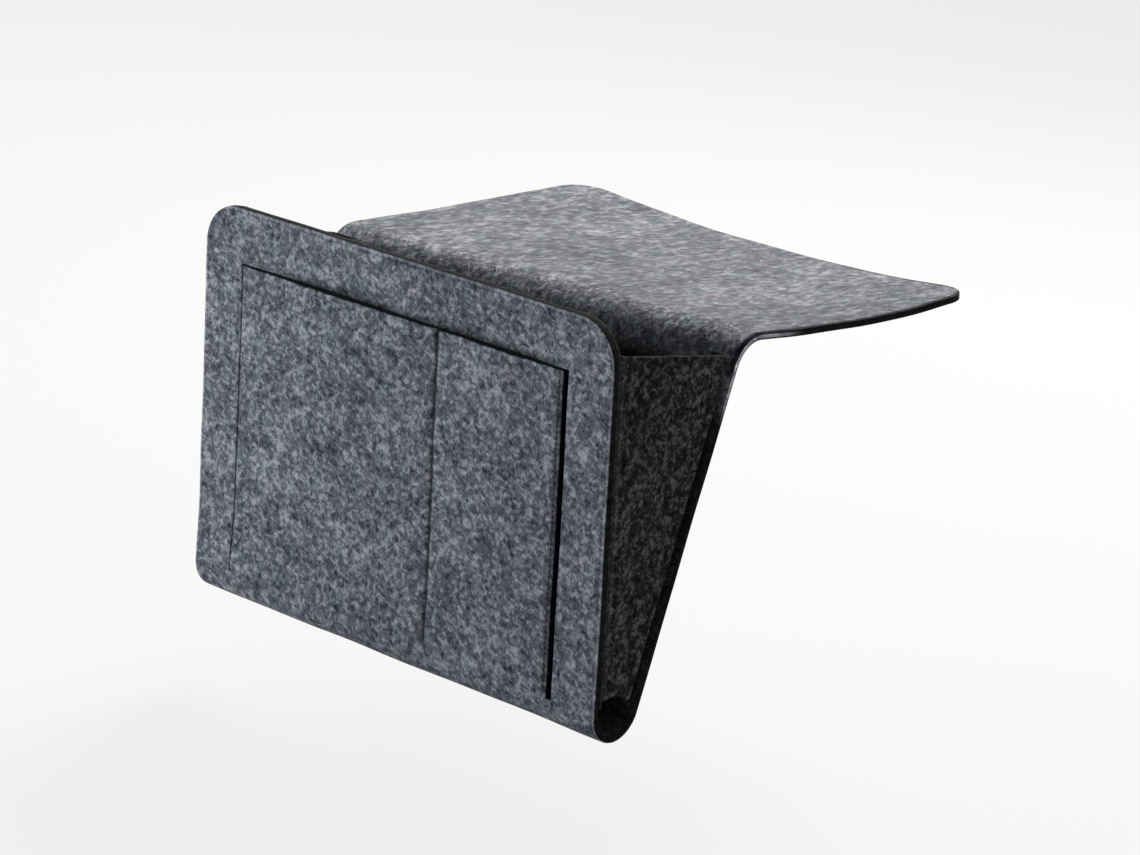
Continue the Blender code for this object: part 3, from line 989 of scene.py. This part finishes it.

# %% [markdown]
# ## The side gussets
# A gusset is a dark felt panel folded along both its long edges, so that one narrow flange lies
# on the back and the other on the lining. The front fold is the rounder one, and catches the light,
# helped by a painted highlight. The foot is cut to an arc, which leaves a round way for a lead. When
# the front is pressed towards the back the real felt creases from corner to corner. Here each gusset
# is cut along that crease: the half on the back is fixed to the back and the half on the front to the
# front, so neither tears away from its panel.

# %% Measure the room for a gusset
fold_centre = on_route(BACK_END) - FOLD_RADIUS * back_facing
crease_lean = (BACK_LEAN - FRONT_LEAN) / 2
HALF_OPENING = (BACK_LEAN + FRONT_LEAN) / 2
gusset_up = Vector((0.0, math.sin(crease_lean), math.cos(crease_lean)))
gusset_back = Vector((0.0, math.cos(crease_lean), -math.sin(crease_lean)))
GUSSET_INSET = 2.5 * MM
GUSSET_FOLD = 3.2 * MM
FRONT_GUSSET_FOLD = 7.0 * MM
GUSSET_FLANGE = 14 * MM
GUSSET_TOP_BACK = 209.2 * MM
GUSSET_TOP_FRONT = 211.6 * MM
GUSSET_TOP = (GUSSET_TOP_BACK + GUSSET_TOP_FRONT) / 2
GUSSET_FOOT = 3 * MM
NOTCH_RADIUS = 16 * MM
NOTCH_DROP = 9 * MM
GUSSET_HOLLOW = 1.2 * MM
back_face = FOLD_RADIUS - FELT / 2
lining_face = FOLD_RADIUS - FELT / 2 - LINING_GAP - LINING
print("opening angle:", round(math.degrees(2 * HALF_OPENING), 1), "degrees")


# %% Lay out a gusset
WEB_CELLS = 28
FLANGE_CELLS = 4
ARC_CELLS = 4
WEB_FIRST = FLANGE_CELLS + ARC_CELLS
GRID_WIDE = 2 * WEB_FIRST + WEB_CELLS + 1
QUARTER = math.pi / 2


def web_ends(height):
    """How far the flat part of the gusset runs back and forward at a height, past its folds."""
    half_felt = (LINING / 2) / math.cos(HALF_OPENING)
    rise = height * math.sin(HALF_OPENING)
    return (
        (back_face + rise) / math.cos(HALF_OPENING) - half_felt - GUSSET_FOLD,
        -(lining_face + rise) / math.cos(HALF_OPENING) + half_felt + FRONT_GUSSET_FOLD,
    )


def gusset_section(height, side):
    """Points across a gusset at one height, from its flange on the back to its flange on the lining."""
    back_end, front_end = web_ends(height)
    outer = HALF_WIDTH - GUSSET_INSET - LINING / 2
    inner = outer - GUSSET_FLANGE + LINING / 2

    def arc(along, radius, angles):
        turned = ((math.cos(angle), math.sin(angle)) for angle in angles)
        return [(outer - radius + radius * cosine, along + radius * sine) for cosine, sine in turned]

    def flange(along, start, end):
        return [(x, along) for x in np.linspace(start, end, FLANGE_CELLS + 1)]

    hollow = GUSSET_HOLLOW * math.sin(math.pi * min(height / GUSSET_TOP, 1.0))
    web = [
        (outer - hollow * math.sin(math.pi * share), back_end + share * (front_end - back_end))
        for share in np.linspace(0.0, 1.0, WEB_CELLS + 1)
    ]
    points = flange(back_end + GUSSET_FOLD, inner, outer - GUSSET_FOLD)[:-1]
    points += arc(back_end, GUSSET_FOLD, np.linspace(QUARTER, 0.0, ARC_CELLS + 1)[:-1]) + web
    points += arc(front_end, FRONT_GUSSET_FOLD, np.linspace(0.0, -QUARTER, ARC_CELLS + 1)[1:])
    points += flange(front_end - FRONT_GUSSET_FOLD, outer - FRONT_GUSSET_FOLD, inner)[1:]
    return [(side * x, along) for x, along in points]


def gusset_foot(along):
    """Height of the gusset's foot: level, with the cable way's arc cut into it."""
    room = NOTCH_RADIUS ** 2 - along ** 2
    arc = math.sqrt(room) - NOTCH_DROP if room > 0 else 0.0
    return max(GUSSET_FOOT, arc)


print("gusset is", round((web_ends(GUSSET_TOP)[0] - web_ends(GUSSET_TOP)[1]) / MM), "mm wide at its top")


# %% Build the two halves of a gusset
GUSSET_CUT = 0.6


def gusset_points(side):
    """Places and flat measures of a gusset's grid, row by row from its foot."""
    places, flat = [], []
    foot_section = gusset_section(GUSSET_FOOT, side)
    for row in range(WEB_CELLS + 1):
        share = row / WEB_CELLS
        for column, (_, foot_along) in enumerate(foot_section):
            low = gusset_foot(foot_along)
            across = column / (len(foot_section) - 1)
            height = low + share * (GUSSET_TOP_BACK + across * (GUSSET_TOP_FRONT - GUSSET_TOP_BACK) - low)
            x, along = gusset_section(height, side)[column]
            places.append(fold_centre + gusset_back * along + gusset_up * height + Vector((x, 0.0, 0.0)))
            flat.append((along + abs(x), height))
    return spread(np.array(places)), np.array(flat)


def gusset_cells(front_half):
    """Cells on one side of the crease, which runs from the back's foot to the front's top."""
    cells = []
    for row in range(WEB_CELLS):
        for column in range(GRID_WIDE - 1):
            a = row * GRID_WIDE + column
            b = a + GRID_WIDE
            web = column - WEB_FIRST
            if web == row:
                cells.append((a, b + 1, a + 1) if front_half else (a, b, b + 1))
            elif (web > row) == front_half:
                cells.append((a, b, b + 1, a + 1))
    return cells


def mark_gusset(shape, weight, rim):
    """Softens a gusset's cut edges, and numbers its front fold and creases for painted highlight and shade.
    """
    for corner in shape.verts:
        past_web = corner.index % GRID_WIDE - WEB_FIRST - WEB_CELLS
        corner[rim] = float(past_web > 0) + float(past_web > 1) - float(past_web == 0)
    for edge in shape.edges:
        if edge.is_boundary:
            grid_spots = [divmod(corner.index, GRID_WIDE) for corner in edge.verts]
            on_crease = all(column - WEB_FIRST == row for row, column in grid_spots)
            edge[weight] = JOIN if on_crease else GUSSET_CUT
            edge.smooth = not on_crease


def make_gusset_half(name, side, front_half):
    places, flat = gusset_points(side)
    cells = gusset_cells(front_half)
    if side > 0:
        cells = [tuple(reversed(cell)) for cell in cells]
    piece = raise_sheet(name, places, flat, cells, mark_gusset, LINING)
    measures = read(piece.data, "felt")
    middle = BVHTree.FromPolygons(places.tolist(), cells)
    for number, spot in enumerate(points_of(piece.data)):
        nearest, inward, _, _ = middle.find_nearest(spot)
        measures[number, 2] = (Vector(spot) - nearest).dot(inward)
    store(piece.data, "felt", measures)
    piece.data.shade_smooth()
    return dress(piece, charcoal_felt)


# %% Hang the gussets
front_facing = Vector((0.0, -math.cos(FRONT_LEAN), -math.sin(FRONT_LEAN)))
BACK_HALF_KEEP = 0.315
FRONT_HALF_KEEP = 0.82
for side, word in ((1.0, "right"), (-1.0, "left")):
    for body, facing, reach, keep in (
        ("back", back_facing, back_face, BACK_HALF_KEEP),
        ("front", front_facing, lining_face, FRONT_HALF_KEEP),
    ):
        half = make_gusset_half(f"felt_gusset_{word}_{body}", side, body == "front")
        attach(half, body)
        fold_centre + reach * facing
        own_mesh(half)
        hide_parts(f"side_gusset_{word}")

# %% [markdown]
# ## The seams
# Dark thread holds the pocket to the lining down its divider and beside the slot, and holds the
# gussets to the back. A seam is a row of short stitches. Each one leaves the felt, lies on it for
# a couple of millimetres and goes back in, so it is a thin tube along a low arc.

# %% Sew a row of stitches
THREAD = 0.7 * MM
STITCH = 2.9 * MM
STITCH_GAP = 0.5 * MM
STITCH_RISE = 0.35 * MM
STITCH_SINK = 0.6 * THREAD
TUBE_SIDES = 6
STITCH_STEPS = 6


def stitch_tube(shape, start, end, outward):
    """Adds one stitch to a mesh: a tube along a low arc from start to end."""
    rings = []
    aim = (end - start).normalized()
    aside = aim.cross(outward).normalized()
    for step in range(STITCH_STEPS + 1):
        share = step / STITCH_STEPS
        lift = STITCH_RISE * math.sin(math.pi * share) - STITCH_SINK * (2 * share - 1) ** 4
        middle = start.lerp(end, share) + outward * lift
        ring = []
        for corner in range(TUBE_SIDES):
            angle = 2 * math.pi * corner / TUBE_SIDES
            off = aside * math.cos(angle) + outward * math.sin(angle)
            ring.append(shape.verts.new(middle + off * THREAD / 2))
        rings.append(ring)
    for low, high in zip(rings, rings[1:]):
        for corner in range(TUBE_SIDES):
            after = (corner + 1) % TUBE_SIDES
            shape.faces.new((low[corner], low[after], high[after], high[corner]))
    shape.faces.new(reversed(rings[0]))
    shape.faces.new(rings[-1])


THREAD_COLOUR = (0.015, 0.015, 0.017)
thread_finish = Finish("dark_thread", THREAD_COLOUR, 0.6)
thread_finish.set(base_color=THREAD_COLOUR, sheen_weight=0.2)


def sew(name, body, surface, low, high):
    """A seam: stitches from low to high along a surface function that gives place and facing."""
    shape = bmesh.new()
    count = int((high - low) / (STITCH + STITCH_GAP))
    for number in range(count):
        at = low + number * (STITCH + STITCH_GAP)
        start, outward = surface(at)
        end, _ = surface(at + STITCH)
        stitch_tube(shape, start, end, outward)
    bmesh.ops.recalc_face_normals(shape, faces=shape.faces)
    mesh = bpy.data.meshes.new(name)
    shape.to_mesh(mesh)
    shape.free()
    mesh.shade_smooth()
    mesh.materials.append(thread_finish.material)
    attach(add_object(name, mesh), body)
    print(name, count, "stitches")


def outside_at(place, x):
    """Places and facings on the outer face of the strip or the pocket, at one distance across."""
    def surface(v):
        spot = np.array([x]), np.array([v])
        out = -Vector(directions(place, *spot)[2][0]).normalized()
        return Vector(place(*spot)[0]) + out * FELT / 2, out
    return surface


# %% Sew the bag
SEAM_FROM_SLOT = 2.8 * MM
SEAM_FROM_SIDE = 9 * MM
side_seam = HALF_WIDTH - SEAM_FROM_SIDE
on_pocket = (pocket_place, POCKET_FOOT + 6 * MM, POCKET_MOUTH - 2 * MM)
on_back = (strip_place, BEND_END + 10 * MM, BACK_END - 6 * MM)
for name, body, x, (place, low, high) in (
    ("seam_divider", "front", DIVIDER, on_pocket),
    ("seam_beside_slot", "front", POCKET_RIGHT - SEAM_FROM_SLOT, on_pocket),
    ("seam_back_right", "back", side_seam, on_back),
    ("seam_back_left", "back", -side_seam, on_back),
):
    sew(name, body, outside_at(place, x), low, high)

# %% [markdown]
# ## The studio
# The light is plain and soft: one large lamp high behind the bag, a weaker and cooler one in front
# on the left, a faint one on the right, and a little light from all round. The bag hangs above a
# pale floor that keeps its shadow. To the camera the surroundings are white.

# %% Lay the floor
FLOOR_BELOW = 60 * MM
FLOOR_SIZE = 40.0
FLOOR_TONE = 0.48
FLOOR_GLOW = 0.82
WHITE = (1.0, 1.0, 1.0)


def make_floor():
    bpy.ops.mesh.primitive_plane_add(size=FLOOR_SIZE, location=(0.0, 0.0, cad_box[0].z - FLOOR_BELOW))
    floor = bpy.context.object
    floor.name = "floor"
    finish = Finish("pale_floor", grey(0.8), 0.9)
    finish.set(base_color=grey(FLOOR_TONE))
    seen = finish.node("ShaderNodeLightPath", {})
    glow = finish.node("ShaderNodeEmission", {}, Color=WHITE, Strength=1.0)
    matt = Signal(finish, finish.shader.outputs[0])
    mixed = finish.node("ShaderNodeMixShader", {}, seen * FLOOR_GLOW, matt, glow)
    finish.tree.links.new(mixed.socket, finish.tree.nodes["Material Output"].inputs["Surface"])
    floor.data.materials.append(finish.material)
    floor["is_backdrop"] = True


make_floor()

# %% Light the bag
AMBIENT = 0.08
LAMPS_AIM = Vector((0.0, -0.12, -0.08))
LAMPS = (
    ("top_lamp", Vector((-0.45, 1.40, 1.50)), 81.0, (1.2, 1.2), (1.0, 0.955, 0.88)),
    ("front_lamp", Vector((-1.10, -1.1, 0.10)), 12.8, (0.9, 0.4), (0.89, 0.955, 1.0)),
    ("side_lamp", Vector((1.60, -0.10, 0.50)), 2.5, (0.8, 0.8), WHITE),
)


def make_lamp(name, place, power, size, colour):
    lamp = bpy.data.lights.new(name, "AREA")
    lamp.energy = power
    lamp.color = colour
    lamp.shape = "RECTANGLE"
    lamp.size, lamp.size_y = size
    stand = add_object(name, lamp)
    stand.location = place
    stand.rotation_euler = (LAMPS_AIM - place).to_track_quat("-Z", "Y").to_euler()


def light_room():
    """White to the camera, faint light for all else, and the lamps."""
    world = bpy.data.worlds.new("studio")
    world.use_nodes = True
    bpy.context.scene.world = world
    nodes, links = world.node_tree.nodes, world.node_tree.links
    room = nodes["Background"]
    room.inputs["Color"].default_value = (*WHITE, 1.0)
    seen = nodes.new("ShaderNodeLightPath")
    shown = seen.outputs["Is Camera Ray"]
    for ray in ("Is Glossy Ray", "Is Transmission Ray"):
        either = nodes.new("ShaderNodeMath")
        either.operation = "MAXIMUM"
        links.new(shown, either.inputs[0])
        links.new(seen.outputs[ray], either.inputs[1])
        shown = either.outputs[0]
    strength = nodes.new("ShaderNodeMapRange")
    strength.inputs["To Min"].default_value = AMBIENT
    links.new(shown, strength.inputs["Value"])
    links.new(strength.outputs["Result"], room.inputs["Strength"])
    for lamp in LAMPS:
        make_lamp(*lamp)


light_room()
bpy.context.scene.view_settings.view_transform = "Standard"

# %% [markdown]
# ## Compare the sizes
# The dressed bag stays in the space of the solid parts, with only a little room for the felt to
# stand proud. How far its box reaches past the frame's box is printed for each axis.

# %% Write the sizes
shown_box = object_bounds()
for axis in range(3):
    past = [round((shown_box[end][axis] - cad_box[end][axis]) / MM, 2) for end in (0, 1)]
    print("xyz"[axis], past, "mm past the frame")
